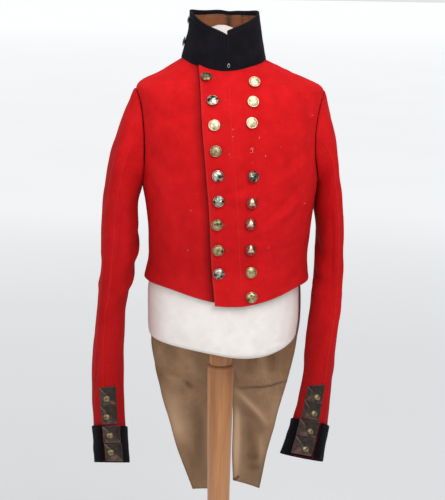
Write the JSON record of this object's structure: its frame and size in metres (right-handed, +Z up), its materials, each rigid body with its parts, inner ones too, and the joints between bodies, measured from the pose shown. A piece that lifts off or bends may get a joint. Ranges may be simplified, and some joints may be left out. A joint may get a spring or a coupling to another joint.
{
  "type": "coatee on dress form with stand",
  "caption": "Scarlet double-breasted tailcoat with a high navy collar, laced navy cuffs and lined tails, worn by a limbless dress form on a turned wooden pole and round base.",
  "frame": {"origin": "centre of the round base's underside, on the floor under the pole", "axes": "+Z up, the coat's front faces -Y, so +X is the wearer's left"},
  "size_m": [0.4491, 0.4, 1.4796],
  "materials": {
    "scarlet_cloth": "milled scarlet wool broadcloth, matt with a short nap",
    "navy_cloth": "navy-black facing cloth, matt",
    "tan_lining": "tan twill lining, soft sheen",
    "brown_lining": "brown collar lining",
    "tarnished_lace": "woven metal lace, tarnished grey-brown",
    "gilt_brass": "gilt, partly worn and tarnished",
    "dark_horn": "near-black horn",
    "cream_jersey": "cream jersey cover, matt",
    "varnished_wood": "turned wood, clear satin varnish"
  },
  "bodies": {
    "root": {"front_left": "scarlet_cloth", "back_left": "scarlet_cloth", "tail_left": "scarlet_cloth", "sleeve_top_left": "scarlet_cloth", "sleeve_under_left": "scarlet_cloth", "cuff_left": "navy_cloth", "tail_lining_left": "tan_lining", "lace_left_1": "tarnished_lace", "cuff_button_left_1": "gilt_brass", "lace_left_2": "tarnished_lace", "cuff_button_left_2": "gilt_brass", "lace_left_3": "tarnished_lace", "cuff_button_left_3": "gilt_brass", "lace_left_4": "tarnished_lace", "cuff_button_left_4": "gilt_brass", "front_right": "scarlet_cloth", "back_right": "scarlet_cloth", "tail_right": "scarlet_cloth", "sleeve_top_right_1": "scarlet_cloth", "sleeve_top_right_2": "scarlet_cloth", "sleeve_top_right_3": "scarlet_cloth", "sleeve_under_right_1": "scarlet_cloth", "sleeve_under_right_2": "scarlet_cloth", "sleeve_under_right_3": "scarlet_cloth", "cuff_right": "navy_cloth", "tail_lining_right": "tan_lining", "lace_right_1": "tarnished_lace", "cuff_button_right_1": "gilt_brass", "lace_right_2": "tarnished_lace", "cuff_button_right_2": "gilt_brass", "lace_right_3": "tarnished_lace", "cuff_button_right_3": "gilt_brass", "lace_right_4": "tarnished_lace", "cuff_button_right_4": "gilt_brass", "button_edge_1": "gilt_brass", "button_far_1": "gilt_brass", "button_edge_2": "gilt_brass", "button_far_2": "gilt_brass", "button_edge_3": "gilt_brass", "button_far_3": "gilt_brass", "button_edge_4": "gilt_brass", "button_far_4": "gilt_brass", "button_edge_5": "gilt_brass", "button_far_5": "gilt_brass", "button_edge_6": "gilt_brass", "button_far_6": "gilt_brass", "button_edge_7": "gilt_brass", "button_far_7": "gilt_brass", "button_edge_8": "gilt_brass", "button_far_8": "gilt_brass", "button_edge_9": "gilt_brass", "button_far_9": "gilt_brass", "collar": "navy_cloth", "collar_lining": "brown_lining", "collar_button_1": "dark_horn", "collar_button_2": "dark_horn", "form_body": "cream_jersey", "pole": "varnished_wood", "pole_neck": "varnished_wood", "base": "varnished_wood"}
  },
  "joints": []
}
